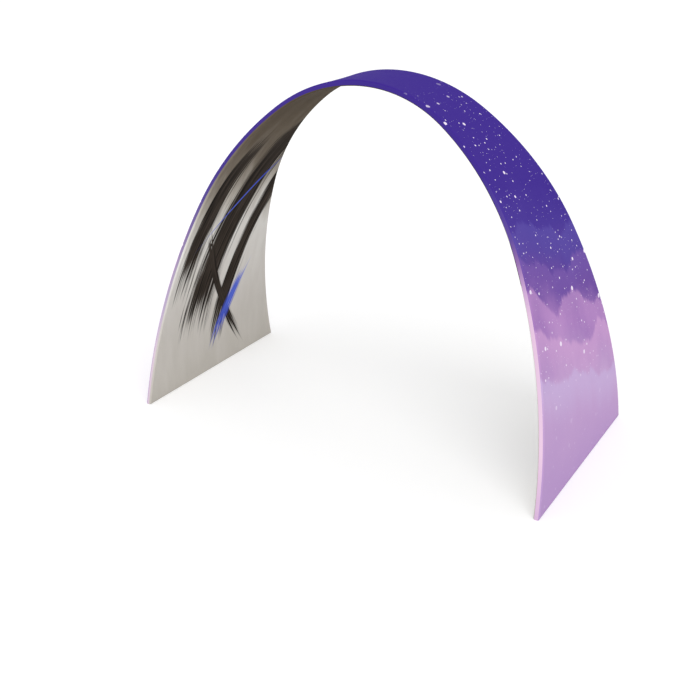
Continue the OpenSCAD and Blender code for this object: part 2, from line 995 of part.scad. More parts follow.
stub_button("front", 1, haunch_spreader_angle);  // front_right_haunch_stub_button
stub_button("front", -1, leg_spreader_angle);  // front_left_leg_stub_button
stub_button("front", 1, leg_spreader_angle);  // front_right_leg_stub_button
stub_button("back", 1, 0);  // back_crown_stub_button
stub_button("back", -1, haunch_spreader_angle);  // back_left_haunch_stub_button
stub_button("back", 1, haunch_spreader_angle);  // back_right_haunch_stub_button
stub_button("back", -1, leg_spreader_angle);  // back_left_leg_stub_button
stub_button("back", 1, leg_spreader_angle);  // back_right_leg_stub_button
outer_panel();
inner_panel();
front_edge_strip();
back_outer_edge_strip();
back_inner_edge_strip();
hem(-1);  // left_hem
hem(1);  // right_hem
zip_tapes(-1);  // left_zip_tapes
zip_tapes(1);  // right_zip_tapes
zip_chain(-1);  // left_zip_chain
zip_chain(1);  // right_zip_chain
zip_stops();
zip_slider(-1);  // left_zip_slider
zip_slider(1);  // right_zip_slider
zip_pull(-1);  // left_zip_pull
zip_pull(1);  // right_zip_pull
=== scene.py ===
"""Fabric display arch: a printed stretch cover on a bent tube frame, zipped along its back edge.

Metres, in the frame of the solids: X along the span, Y to the back, Z up from the floor.
"""

import math

import bpy
import numpy as np
from mathutils import Matrix, Vector


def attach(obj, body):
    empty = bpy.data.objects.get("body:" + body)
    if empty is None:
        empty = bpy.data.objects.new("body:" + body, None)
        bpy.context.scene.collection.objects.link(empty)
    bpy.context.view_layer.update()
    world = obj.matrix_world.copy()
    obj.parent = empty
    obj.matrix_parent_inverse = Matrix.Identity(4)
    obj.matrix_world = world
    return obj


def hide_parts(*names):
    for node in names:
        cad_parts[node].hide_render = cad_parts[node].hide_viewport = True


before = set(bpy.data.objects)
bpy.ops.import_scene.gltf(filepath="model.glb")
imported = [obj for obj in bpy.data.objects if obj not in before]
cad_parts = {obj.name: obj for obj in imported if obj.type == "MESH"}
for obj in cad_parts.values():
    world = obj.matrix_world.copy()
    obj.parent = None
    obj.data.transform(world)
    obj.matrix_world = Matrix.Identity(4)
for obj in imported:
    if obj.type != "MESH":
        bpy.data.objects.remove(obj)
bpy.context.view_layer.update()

# Sizes of the arch, the same as in its solids
HOOP_RISE = 2.495
RADII = np.array([1.009, 1.902, 4.024])
CROWN_END = math.radians(36.5)
HAUNCH_END = math.radians(65.5)
HALF_DEPTH = 0.78
LEAN = math.radians(12.87)
COVER_R = 0.0198
FABRIC = 0.0005
ZIP_HALF_ANGLE = math.radians(32)
CHAIN_MID = 0.0218
CHAIN_WIDTH = 0.0058
CHAIN_THICKNESS = 0.0024
SLIDER_HEIGHT = 0.080
ZIP_START = 0.017

# The photograph's camera, solved from the edges of the arch
PICTURE = 700
FOCAL_PIXELS = 1014.578
SENSOR_MM = 36.0
FAR_CLIP = 400
CAMERA_PLACE = Vector((3.31267, -5.88986, 3.52654))
CAMERA_AZIMUTH = math.radians(31.158)
CAMERA_ELEVATION = math.radians(24.206)
CAMERA_ROLL = math.radians(-0.542)


def place_camera():
    """The lens is the focal length in pixels over the picture's width, times the sensor's width."""
    lens = bpy.data.cameras.new("camera")
    lens.sensor_width = SENSOR_MM
    lens.lens = FOCAL_PIXELS / PICTURE * SENSOR_MM
    lens.clip_end = FAR_CLIP
    camera = bpy.data.objects.new("camera", lens)
    bpy.context.scene.collection.objects.link(camera)
    level = math.cos(CAMERA_ELEVATION)
    ahead = Vector((
        -math.sin(CAMERA_AZIMUTH) * level,
        math.cos(CAMERA_AZIMUTH) * level,
        -math.sin(CAMERA_ELEVATION),
    ))
    right = ahead.cross(Vector((0, 0, 1))).normalized()
    up = right.cross(ahead)
    turned_right = right * math.cos(CAMERA_ROLL) + up * math.sin(CAMERA_ROLL)
    turned_up = up * math.cos(CAMERA_ROLL) - right * math.sin(CAMERA_ROLL)
    turn = Matrix((turned_right, turned_up, -ahead)).transposed()
    camera.matrix_world = Matrix.Translation(CAMERA_PLACE) @ turn.to_4x4()
    bpy.context.scene.camera = camera


place_camera()


# Shapes

def unit(angle):
    """Direction of a clock angle, as across and up."""
    return np.array([math.sin(angle), math.cos(angle)])


CENTRES = np.zeros((3, 2))
CENTRES[0] = [0, HOOP_RISE - RADII[0]]
CENTRES[1] = CENTRES[0] - (RADII[1] - RADII[0]) * unit(CROWN_END)
CENTRES[2] = CENTRES[1] - (RADII[2] - RADII[1]) * unit(HAUNCH_END)
CROWN_LENGTH = RADII[0] * CROWN_END
HAUNCH_LENGTH = CROWN_LENGTH + RADII[1] * (HAUNCH_END - CROWN_END)
FOOT_ANGLE = math.acos((COVER_R / math.cos(LEAN) - CENTRES[2, 1]) / RADII[2])
FOOT_LENGTH = HAUNCH_LENGTH + RADII[2] * (FOOT_ANGLE - HAUNCH_END)


def hoop(s):
    """Front hoop's centre line at arc lengths s from the crown, minus to the left: a chain of three arcs.

    Returns the points, and the unit vectors along the hoop, away from its arc in its own plane, and
    out of that plane.
    """
    s = np.asarray(s, float)
    side = np.where(s < 0, -1.0, 1.0)
    far = np.abs(s)
    which = np.where(far <= CROWN_LENGTH, 0, np.where(far <= HAUNCH_LENGTH, 1, 2))
    start = np.array([0, CROWN_LENGTH, HAUNCH_LENGTH])[which]
    angle = np.array([0, CROWN_END, HAUNCH_END])[which] + (far - start) / RADII[which]
    across = side * (CENTRES[which, 0] + RADII[which] * np.sin(angle))
    rise = CENTRES[which, 1] + RADII[which] * np.cos(angle)
    tip, level = math.sin(LEAN), math.cos(LEAN)
    fall = -side * np.sin(angle)
    point = np.stack([across, rise * tip - HALF_DEPTH, rise * level], -1)
    along = np.stack([np.cos(angle), fall * tip, fall * level], -1)
    away = np.stack([-fall, np.cos(angle) * tip, np.cos(angle) * level], -1)
    outward = np.broadcast_to([0.0, -level, tip], away.shape)
    return point, along, away, outward


def seam_turn(s):
    """Angle round the tube at which a sheet ruled along the depth leaves it: tan = cos(clock) tan(lean)."""
    away = hoop(s)[2]
    return np.arctan(away[..., 2] / math.cos(LEAN) * math.tan(LEAN))


def beside_hoop(s, across, level):
    """Point = hoop centre + across x the in-plane normal + level x the plane's own normal."""
    point, _, away, outward = hoop(s)
    return point + np.asarray(across)[..., None] * away + np.asarray(level)[..., None] * outward


def floor_stop(across, level, floor):
    """Arc length at which a line beside the hoop comes down to a height, by Newton's steps down the leg."""
    s = np.full(np.shape(across), FOOT_LENGTH)
    for _ in range(5):
        s = s - (beside_hoop(s, across, level)[..., 2] - floor) / hoop(s)[1][..., 2]
    return s


def at_the_back(points):
    """The same points on the back hoop, which mirrors the front one."""
    return points * np.array([1, -1, 1])


def add_mesh(name, points, faces, uv=None, crease=50):
    """A mesh object at the origin, from points (n, 3), faces of one size (m, k) and a UV for each point."""
    mesh = bpy.data.meshes.new(name)
    mesh.vertices.add(len(points))
    mesh.vertices.foreach_set("co", np.ascontiguousarray(points, np.float32).ravel())
    mesh.loops.add(faces.size)
    mesh.loops.foreach_set("vertex_index", faces.astype(np.int32).ravel())
    mesh.polygons.add(len(faces))
    mesh.polygons.foreach_set("loop_start", np.arange(0, faces.size, faces.shape[1], dtype=np.int32))
    mesh.update(calc_edges=True)
    if uv is not None:
        layer = mesh.uv_layers.new(name="cut")
        layer.data.foreach_set("uv", uv[faces.ravel()].astype(np.float32).ravel())
    mesh.shade_smooth()
    mesh.set_sharp_from_angle(angle=math.radians(crease))
    mesh.validate()
    made = bpy.data.objects.new(name, mesh)
    bpy.context.scene.collection.objects.link(made)
    return made


def cloth(name, face, back, uv):
    """Closed thin sheet: a grid of points for its face, one for its back, and quads round the rim."""
    rows, columns = face.shape[:2]
    count = rows * columns
    index = np.arange(count).reshape(rows, columns)
    quads = np.stack([index[:-1, :-1], index[1:, :-1], index[1:, 1:], index[:-1, 1:]], -1).reshape(-1, 4)
    ring = np.concatenate([index[:, 0], index[-1, 1:], index[-2::-1, -1], index[0, -2:0:-1]])
    after = np.roll(ring, -1)
    rim = np.stack([ring, ring + count, after + count, after], -1)
    points = np.concatenate([face.reshape(-1, 3), back.reshape(-1, 3)])
    a, b, _, d = points[quads[len(quads) // 2]]
    thickness = a - points[quads[len(quads) // 2][0] + count]
    if np.cross(b - a, d - a) @ thickness < 0:
        quads, rim = quads[:, ::-1], rim[:, ::-1]
    faces = np.concatenate([quads, quads[:, ::-1] + count, rim])
    return add_mesh(name, points, faces, np.concatenate([uv.reshape(-1, 2)] * 2))


def declare(piece, node):
    """Hides the node and hangs the piece on the frame. The cover is cut 4% short; the tapes don't stretch.
    """
    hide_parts(node)
    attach(piece, "frame")


# The grid of a panel, finer near its floor and its edges
FINE_FOOT = 0.45
FINE_SIDE = 0.32
FINE_STEP = 0.009
COARSE_STEP = 0.024
WIDE_STEPS = 22

# How the stretched cloth lies between the hoops
OUTER_SAG = 0.0028
INNER_SAG = 0.0035
SAG_FROM_FLOOR = 0.12
UNEVEN = 0.0005
UNEVEN_WAVES = 7
UNEVEN_RATES = (4, 11)
OUTER_SEED = 3
INNER_SEED = 5
RIPPLE_LENGTH = 0.034
RIPPLE_HEIGHT = 0.0004
RIPPLE_REACH = 0.11
RIPPLE_FROM_EDGE = 0.012


def tension(s, y, half, stop, seed):
    """How far the stretched sheet stands off its ruled surface: the sag, the unevenness and the ripples.

    The sag is a parabola across the depth. The unevenness is a mean of sines. The ripples are a sine
    that runs to the lower corners, and fades away from them as a bell curve. All fade at the edges.
    """
    rng = np.random.default_rng(seed)
    above = stop - np.abs(s)
    aside = half - np.abs(y)
    free = (1 - (y / half) ** 2) * (1 - np.exp(-above / SAG_FROM_FLOOR))
    uneven = np.zeros_like(free)
    for _ in range(UNEVEN_WAVES):
        wave = rng.uniform(*UNEVEN_RATES, 2) * rng.choice([-1, 1], 2)
        uneven += np.sin(wave[0] * s + wave[1] * y + rng.uniform(0, 2 * math.pi)) / UNEVEN_WAVES
    corner = np.exp(-(above ** 2 + aside ** 2) / (2 * RIPPLE_REACH ** 2))
    corner = corner * (1 - np.exp(-above / RIPPLE_FROM_EDGE)) * (1 - np.exp(-aside / RIPPLE_FROM_EDGE))
    ripple = np.sin((above - aside) / math.sqrt(2) * 2 * math.pi / RIPPLE_LENGTH) * corner
    return free, uneven * free, ripple


def panel(name, inside, sag, seed):
    """One face of the cover: lines parallel to the depth, ruled from hoop to hoop.

    Point = hoop centre across and up + reach x the normal at right angles to the depth. inside is 1 for
    the outer face and -1 for the one that lines the walkway.
    """
    stop = float(floor_stop(COVER_R * inside, 0.0, COVER_R))
    crown = np.arange(0, stop - FINE_FOOT, COARSE_STEP)
    foot = np.linspace(stop - FINE_FOOT, stop, round(FINE_FOOT / FINE_STEP) + 1)
    right = np.concatenate([crown, foot])
    s = np.concatenate([-right[:0:-1], right])
    edge = np.arange(round(FINE_SIDE / FINE_STEP) + 1) * FINE_STEP / HALF_DEPTH
    wide = np.linspace(-1 + edge[-1], 1 - edge[-1], WIDE_STEPS)[1:-1]
    t = np.concatenate([edge - 1, wide, 1 - edge[::-1]])
    point, _, away, _ = hoop(s)
    seen = away * np.array([math.cos(LEAN), 0, 1 / math.cos(LEAN)])
    seen = seen / np.linalg.norm(seen, axis=-1, keepdims=True)
    half = -point[:, 1]
    y = half[:, None] * t
    free, uneven, ripple = tension(s[:, None], y, half[:, None], stop, seed)
    out = inside * COVER_R - sag * free + UNEVEN * uneven + RIPPLE_HEIGHT * ripple
    level = np.stack([point[:, :1] + 0 * y, y, point[:, 2:] + 0 * y], -1)
    face = level + out[..., None] * seen[:, None, :]
    back = face - FABRIC * inside * seen[:, None, :]
    area = float(np.sum((half[1:] + half[:-1]) * np.diff(s)))
    piece = cloth(name, face, back, np.stack([s[:, None] + 0 * y, y], -1))
    return piece, 2 * stop, 2 * HALF_DEPTH, area


# The zip's tapes, in the section across the hoop: they slope up from the cut edges to the coil
TAPE_FOOT = (COVER_R - FABRIC / 2) * np.array([math.sin(ZIP_HALF_ANGLE), math.cos(ZIP_HALF_ANGLE)])
TAPE_HEAD = np.array([0.0032, CHAIN_MID])
TAPE_LENGTH = float(np.linalg.norm(TAPE_HEAD - TAPE_FOOT))
TAPE_ALONG = (TAPE_HEAD - TAPE_FOOT) / TAPE_LENGTH
TAPE_OUT = np.array([TAPE_ALONG[1], -TAPE_ALONG[0]])
TAPE_HALF = 0.00025
TAPE_UNDER = 0.005
TAPE_LIP = 0.0001
TAPE_STEPS = 7
TAPE_STOP = 0.004

# At the crown the two tapes of a pair meet in the middle, and further down the coil lies between them
TAPE_MEET = 0.0002
CLOSED_TO = 0.0120
OPEN_FROM = 0.0138
CROWN_PART = OPEN_FROM + 0.002
CROWN_STEPS = 12
LEG_FROM = OPEN_FROM + 0.01
LEG_STEPS = 150

# The fold of the cover's edge, over the tape
FOLD_REACH = 0.0044
FOLD_LIFT = 0.00088
FOLD_FROM = math.radians(60)
FOLD_ARC_STEPS = 9
FOLD_CURVE_STEPS = 7

# The seams stand out as corners, so the cover's edge is squarer than the tube in it
SQUARENESS = 5
NARROWEST = 0.8
OUTER_SEAM = math.radians(58)
INNER_SEAM = math.radians(125)
BACK_SEAM = math.radians(40)
SEAM_DEPTH = 0.0003
TURN_STEPS = 15
STRIP_STEPS = 13
BACK_TURN_STEPS = 11

# Down the left leg the inner seam moves over, from this far down and over this length
SEAM_SHIFT = math.radians(18)
SHIFT_FROM = 0.1
SHIFT_LENGTH = 0.6

# The grid of a hem, round its tube and along it
HEM_STEPS = 41
HEM_COLUMNS = 80

# Stations along the edges, as shares of the way to the floor, closer and closer towards it
UPPER_PART = 0.86
UPPER_STEPS = 130
LOWER_STEPS = 27
LAST_PART = 0.007
LAST_STEPS = 9
STATIONS = np.concatenate([
    np.linspace(0, UPPER_PART, UPPER_STEPS),
    np.linspace(UPPER_PART, 1 - LAST_PART, LOWER_STEPS)[1:],
    1 - LAST_PART * (1 - np.linspace(0, 1, LAST_STEPS)[1:]) ** 2,
])
STATIONS = np.concatenate([-STATIONS[:0:-1], STATIONS])


def edge_section(low, start, end, steps):
    """Superellipse round the tube, between two angles from the panel that comes in there.

    Radius = COVER_R / (|cos| ^ n + |sin| ^ n) ^ (1 / n), where n is SQUARENESS, turned by low at each
    station. Returns the points and their outward directions, as across and level.
    """
    angle = start + (end - start) * np.linspace(0, 1, steps) + 0 * low[:, None]
    ray = np.stack([np.cos(angle), np.sin(angle)], -1)
    size = np.sum(np.abs(ray) ** SQUARENESS, -1, keepdims=True) ** (1 / SQUARENESS)
    out = np.sign(ray) * np.abs(ray) ** (SQUARENESS - 1)
    out = out / np.linalg.norm(out, axis=-1, keepdims=True)
    turn = np.stack([np.cos(low), -np.sin(low), np.sin(low), np.cos(low)], -1).reshape(-1, 2, 2)
    return [np.einsum("nij,nkj->nki", turn, part) for part in (COVER_R * ray / size, out)]


def folded_section(low):
    """The edge from its seam, which then runs on a cubic blend to lie along the zip's tape."""
    arc, out = edge_section(low, BACK_SEAM, (FOLD_FROM - low)[:, None], FOLD_ARC_STEPS)
    start, facing = arc[:, -1:], out[:, -1:]
    bend = np.stack([-facing[..., 1], facing[..., 0]], -1)
    end = TAPE_FOOT + TAPE_ALONG * FOLD_REACH + TAPE_OUT * FOLD_LIFT
    t = np.linspace(0, 1, FOLD_CURVE_STEPS)[1:, None]
    reach = np.linalg.norm(end - start, axis=-1, keepdims=True)
    curve = ((2 * t ** 3 - 3 * t ** 2 + 1) * start + (t ** 3 - 2 * t ** 2 + t) * reach * bend
             + (3 * t ** 2 - 2 * t ** 3) * end + (t ** 3 - t ** 2) * reach * TAPE_ALONG)
    turn = facing * (1 - t) + TAPE_OUT * t
    turn = turn / np.linalg.norm(turn, axis=-1, keepdims=True)
    return [np.concatenate([arc, curve], 1), np.concatenate([out, turn], 1)]


def near_floor(height):
    """Share of its thickness that the edge keeps at a height, where it turns in with the hem."""
    low = np.clip(1 - height / COVER_R, 0, 1)
    return np.maximum((1 - low ** SQUARENESS) ** (1 / SQUARENESS), NARROWEST)


def edge_wrap(name, node, section, out, seams, print_side=0, at_back=False):
    """Strip of cover carried along a hoop from floor to floor. Its section is given for each station.

    seams says which of its two edges are sewn, and lie in a groove. print_side is 0 for a strip of its
    own, and 1 or -1 where a panel's print runs on from the first or the last point of the section.
    """
    stop = floor_stop(section[-1, :, 0], section[-1, :, 1], 0.0)
    s = STATIONS[:, None] * stop
    groove = np.zeros(s.shape[1])
    groove[0], groove[-1] = SEAM_DEPTH * seams[0], SEAM_DEPTH * seams[1]
    face = section - groove[:, None] * out
    back = section - (groove[:, None] + FABRIC) * out
    narrow = near_floor(beside_hoop(s, face[..., 0], face[..., 1])[..., 2])
    face = beside_hoop(s, face[..., 0] * narrow, face[..., 1])
    back = beside_hoop(s, back[..., 0] * narrow, back[..., 1])
    for skin in (face, back):
        skin[..., 2] = np.maximum(skin[..., 2], 0)
    if at_back:
        face, back = at_the_back(face), at_the_back(back)
    steps = np.linalg.norm(np.diff(section, axis=1), axis=-1)
    run = np.concatenate([np.zeros((len(s), 1)), np.cumsum(steps, 1)], 1)
    across = run
    if print_side:
        across = run if print_side > 0 else run[:, -1:] - run
        across = (across - hoop(s)[0][..., 1]) * (1 if at_back else -1)
    piece = cloth(name, face, back, np.stack([s, across], -1))
    declare(piece, node)
    return piece


def edge_wraps():
    """Both prints turn the corners to narrow strips: one at the front, and two with the zip at the back.

    Down the left leg the inner print reaches further round, so the front strip is narrower there.
    """
    low = seam_turn(STATIONS * FOOT_LENGTH)
    left = np.clip((-STATIONS[:, None] * FOOT_LENGTH - SHIFT_FROM) / SHIFT_LENGTH, 0, 1)
    seam = INNER_SEAM - SEAM_SHIFT * left ** 2 * (3 - 2 * left)
    node = "front_edge_strip"
    turn = edge_section(low, 0, OUTER_SEAM, TURN_STEPS)
    outer = [edge_wrap("outer_front_turn", node, *turn, (0, 1), 1)]
    strip = edge_section(low, OUTER_SEAM, seam, STRIP_STEPS)
    strips = [edge_wrap("front_edge", node, *strip, (1, 1))]
    turn = edge_section(low, seam, math.pi, TURN_STEPS)
    inner = [edge_wrap("inner_front_turn", node, *turn, (1, 0), -1)]
    for made, word, side in ((outer, "outer", 1), (inner, "inner", -1)):
        node = f"back_{word}_edge_strip"
        flip = np.array([side, 1])
        turn = [part * flip for part in edge_section(side * low, 0, BACK_SEAM, BACK_TURN_STEPS)]
        fold = [part * flip for part in folded_section(side * low)]
        made.append(edge_wrap(f"{word}_back_turn", node, *turn, (0, 1), 1, True))
        strips.append(edge_wrap(f"back_{word}_edge", node, *fold, (1, 0), 0, True))
    return outer, strips, inner


def hem_turn(name, side):
    """The cover's turn under a base tube: half of the edge's section, standing on the floor."""
    foot = hoop(side * FOOT_LENGTH)[0]
    half = edge_section(np.zeros(1), 0, math.pi, HEM_STEPS)
    place, out = [part[0] * np.array([1, -1]) for part in half]
    depth = HALF_DEPTH - (place[:, 1] + foot[2]) * math.tan(LEAN)
    y = np.linspace(-1, 1, HEM_COLUMNS) * depth[:, None]
    face = np.stack([place[:, :1] + foot[0] + 0 * y, y, place[:, 1:] + COVER_R + 0 * y], -1)
    back = face - FABRIC * np.stack([out[:, :1] + 0 * y, 0 * y, out[:, 1:] + 0 * y], -1)
    uv = np.stack([side * place[:, :1] / COVER_R + 0 * y, y], -1)
    girth = float(np.linalg.norm(np.diff(place, axis=0), axis=-1).sum())
    return cloth(name, face, back, uv), girth


# Rows of stitches. A stitch's half length, width and height, and where each row lies
STITCH_PITCH = 0.0035
STITCH_HALF = np.array([0.0013, 0.00025, 0.0002])
STITCH_LIFT = 0.00005
FOLD_SEAM_INSET = 0.0015
COIL_SEAM_INSET = 0.001
HEM_SEAM = 0.026
HEM_SEAM_LIFT = 0.0001
HEM_SEAM_STOP = 0.004


def stitches(name, middle, along, aside, out):
    """Sewn thread: one long octahedron for each stitch, from its middle and its three half axes."""
    points = np.stack([middle + along, middle + aside, middle + out,
                       middle - aside, middle - out, middle - along], 1)
    caps = [(0, a, b) for a, b in ((1, 2), (2, 3), (3, 4), (4, 1))]
    caps += [(5, b, a) for a, b in ((1, 2), (2, 3), (3, 4), (4, 1))]
    faces = np.arange(len(middle))[:, None, None] * 6 + np.array(caps)
    return add_mesh(name, points.reshape(-1, 3), faces.reshape(-1, 3), crease=180)


def back_stitches(name, side, across, level, slope):
    """A row of stitches along the back hoop. slope is the direction of the cloth across the row."""
    s = side * np.arange(STITCH_PITCH / 2, FOOT_LENGTH + COVER_R - 2 * TAPE_STOP, STITCH_PITCH)
    _, along, away, outward = hoop(s)
    aside = slope[0] * away + slope[1] * outward
    out = np.cross(along, aside)
    middle = beside_hoop(s, across, level)
    parts = [middle, along * STITCH_HALF[0], aside * STITCH_HALF[1], out * STITCH_HALF[2]]
    return stitches(name, *[at_the_back(part) for part in parts])


def hem_stitches(name, side, inside):
    """A row of stitches along the floor, above the hem's turn."""
    s = float(floor_stop(COVER_R * inside, 0.0, HEM_SEAM))
    point, _, away, _ = hoop(side * s)
    depth = HALF_DEPTH - HEM_SEAM * math.tan(LEAN) - HEM_SEAM_STOP
    y = np.arange(-depth, depth, STITCH_PITCH)
    out = np.array([side * inside, 0.0, 0.0])
    skin = point + (COVER_R * inside + HEM_SEAM_LIFT * inside) * away
    middle = np.stack([skin[0] + 0 * y, y, skin[2] + 0 * y], -1)
    ones = np.ones_like(y)[:, None]
    return stitches(name, middle, ones * [0, STITCH_HALF[0], 0], ones * [0, 0, STITCH_HALF[1]],
                    ones * out * STITCH_HALF[2])


def zip_tape(name, side, half):
    """Woven tape from under the fold to the coil. At the crown a lip runs on to the middle, to its pair.

    Stations are metres from the crown in the first part, and shares of the way down in the second.
    """
    steps = np.linspace(-TAPE_UNDER, TAPE_LENGTH, TAPE_STEPS)
    section = np.concatenate([TAPE_FOOT + steps[:, None] * TAPE_ALONG, [TAPE_HEAD]])
    out = np.concatenate([np.tile(TAPE_OUT, (TAPE_STEPS, 1)), [[0, 1]]])
    stop = floor_stop(section[:, 0], section[:, 1], TAPE_STOP)
    crown = np.linspace(TAPE_MEET, CROWN_PART, CROWN_STEPS)[:, None] + 0 * stop
    leg = np.linspace(LEG_FROM, 1, LEG_STEPS)[:, None] * stop
    s = side * np.concatenate([crown, leg])
    closed = np.clip((OPEN_FROM - np.abs(s[:, -1])) / (OPEN_FROM - CLOSED_TO), 0, 1)
    section = np.tile(section, (len(s), 1, 1))
    section[:, -1, 0] -= TAPE_LIP + (TAPE_HEAD[0] - TAPE_MEET - TAPE_LIP) * closed
    skins = [section + level * TAPE_HALF * out for level in (1, -1)]
    skins = [skin * np.array([half, 1]) for skin in skins]
    face, back = [at_the_back(beside_hoop(s, skin[..., 0], skin[..., 1])) for skin in skins]
    width = TAPE_UNDER + TAPE_LENGTH
    run = np.append(np.linspace(0, width, TAPE_STEPS), width + TAPE_LIP)
    piece = cloth(name, face, back, np.stack([s, run + 0 * s], -1))
    return piece, float(stop.max()), width


# Each turn of the coil, at places across the zip from -1 to 1. Its ends are lower and shorter
COIL_PITCH = 0.00125
COIL_PAST_SLIDER = 0.02
COIL_PLACES = np.array([-1, -0.86, -0.4, 0, 0.4, 0.86, 1])
COIL_LENGTHS = 0.46 * COIL_PITCH * np.array([0.6, 1, 1, 1, 1, 1, 0.6])
COIL_END_HEIGHT = 0.15 * CHAIN_THICKNESS


def zip_coil(name, side):
    """Closed coil: one bar across the zip for each turn, of height sqrt(1 - place ^ 4) at each place."""
    stop = FOOT_LENGTH - SLIDER_HEIGHT / math.cos(LEAN) + COIL_PAST_SLIDER
    s = side * np.arange(ZIP_START, stop, COIL_PITCH)
    across = CHAIN_WIDTH / 2 * COIL_PLACES
    height = CHAIN_THICKNESS / 2 * (1 - np.abs(COIL_PLACES) ** 4) ** 0.5
    height[[0, -1]] = COIL_END_HEIGHT
    turn = np.arange(4) * math.pi / 2
    level = height[:, None] * np.sin(turn)
    shift = COIL_LENGTHS[:, None] * np.cos(turn)
    _, along, away, outward = hoop(s)
    middle = beside_hoop(s, 0 * s, 0 * s + CHAIN_MID)
    points = (middle[:, None, None] + across[:, None, None] * away[:, None, None]
              + level[..., None] * outward[:, None, None] + shift[..., None] * along[:, None, None])
    ring = np.arange(4)
    after = (ring + 1) % 4
    start = np.arange(len(across) - 1)[:, None] * 4
    quads = np.stack([start + ring, start + after, start + 4 + after, start + 4 + ring], -1)
    last = 4 * (len(across) - 1)
    caps = np.array([[3, 2, 1, 0], [last, last + 1, last + 2, last + 3]])
    quads = np.concatenate([quads.reshape(-1, 4), caps])
    if side > 0:
        quads = quads[:, ::-1]
    faces = np.arange(len(s))[:, None, None] * 4 * len(across) + quads
    return add_mesh(name, at_the_back(points.reshape(-1, 3)), faces.reshape(-1, 4), crease=60)


def sewn_on(piece):
    """Thread and trim ride on the frame with the cover."""
    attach(piece, "frame")
    return piece


outer_face, long, wide, area = panel("outer_face", 1, OUTER_SAG, OUTER_SEED)
declare(outer_face, "outer_panel")
inner_face, long, wide, area = panel("inner_face", -1, -INNER_SAG, INNER_SEED)
declare(inner_face, "inner_panel")
outer_turns, edge_strips, inner_turns = edge_wraps()

hems = []
tapes = []
thread = []
dark_thread = []
coils = []
fold = TAPE_FOOT + TAPE_ALONG * (FOLD_REACH - FOLD_SEAM_INSET) + TAPE_OUT * (FOLD_LIFT + STITCH_LIFT)
seam = TAPE_FOOT + TAPE_ALONG * (TAPE_LENGTH - COIL_SEAM_INSET) + TAPE_OUT * (TAPE_HALF + STITCH_LIFT)
for side, word in ((-1, "left"), (1, "right")):
    hem, girth = hem_turn(f"{word}_hem_turn", side)
    long = 2 * HALF_DEPTH
    declare(hem, f"{word}_hem")
    hems.append(hem)
    for half, place in ((1, "outer"), (-1, "inner")):
        flip = np.array([half, 1])
        slope = TAPE_ALONG * flip
        tape, long, wide = zip_tape(f"{word}_zip_{place}_tape", side, half)
        declare(tape, f"{word}_zip_tapes")
        tapes.append(tape)
        thread.append(back_stitches(f"{word}_zip_{place}_stitches", side, *(fold * flip), slope))
        dark_thread.append(back_stitches(f"{word}_coil_{place}_stitches", side, *(seam * flip), slope))
        thread.append(hem_stitches(f"{word}_hem_{place}_stitches", side, half))
    coil = zip_coil(f"{word}_zip_coil", side)
    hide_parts(f"{word}_zip_chain")
    coils.append(sewn_on(coil))
for row in thread:
    sewn_on(row)
for row in dark_thread:
    sewn_on(row)


# Materials

def linear(code):
    """A colour written as sRGB hex, as linear values with alpha."""
    values = np.array([int(code[i:i + 2], 16) for i in (1, 3, 5)]) / 255
    values = np.where(values <= 0.04045, values / 12.92, ((values + 0.055) / 1.055) ** 2.4)
    return (*values.tolist(), 1.0)


def add(tree, kind, *inputs, named=None, **settings):
    """Adds a node with its settings. Inputs are values, hex colours, sockets, or nodes' first outputs."""
    made = tree.nodes.new("ShaderNode" + kind)
    for name, value in settings.items():
        setattr(made, name, value)
    for key, value in [*enumerate(inputs), *(named or {}).items()]:
        if isinstance(value, bpy.types.Node):
            value = value.outputs[0]
        if isinstance(value, str):
            value = linear(value)
        if isinstance(value, bpy.types.NodeSocket):
            tree.links.new(value, made.inputs[key])
        else:
            made.inputs[key].default_value = value
    return made


def new_material(name, colour="#ffffff", **values):
    """A material with one principled shader, its plain values set on the shader's own sockets."""
    made = bpy.data.materials.new(name)
    made.use_nodes = True
    tree = made.node_tree
    tree.nodes.clear()
    plain_values = {key.replace("_", " "): value for key, value in values.items()}
    shader = add(tree, "BsdfPrincipled", colour, named=plain_values)
    add(tree, "OutputMaterial", shader)
    return made, tree, shader


def wear(pieces, material):
    """Gives pieces their material, in their slots or in a new one."""
    for piece in pieces:
        if piece.material_slots:
            for slot in piece.material_slots:
                slot.material = material
        else:
            piece.data.materials.append(material)


# Settings of a smooth step, and of a mix of two colours, with the places of its sockets
SMOOTH = {"interpolation_type": "SMOOTHSTEP"}
COLOURS = {"data_type": "RGBA"}
SHARE, UNDER, OVER, MIXED = 0, 6, 7, 2

# The length from the crown over which the prints' colours are given
SPAN = 3.3


def colour_along(tree, value, stops):
    """The print's colour along a length: stops are (metres from the crown, hex)."""
    share = add(tree, "Math", value, SPAN, operation="DIVIDE")
    made = add(tree, "ValToRGB", share)
    elements = made.color_ramp.elements
    while len(elements) < len(stops):
        elements.new(0.5)
    for element, (place, code) in zip(elements, stops):
        element.position = place / SPAN
        element.color = linear(code)
    return made


def cloth_places(tree):
    """Arc length with its sign, distance from the crown, and depth, in metres, from the UV map."""
    place = add(tree, "UVMap", uv_map="cut")
    parts = add(tree, "SeparateXYZ", place)
    down = add(tree, "Math", parts.outputs[0], operation="ABSOLUTE")
    return place, parts.outputs[0], down, parts.outputs[1]


# The wave texture repeats 20 times in a length of two pi
KNIT_PITCH = 0.0012
KNIT_DEPTH = 0.00012
RIB_RATE = 2 * math.pi / KNIT_PITCH / 20
COURSE_RATE = 0.8 * RIB_RATE


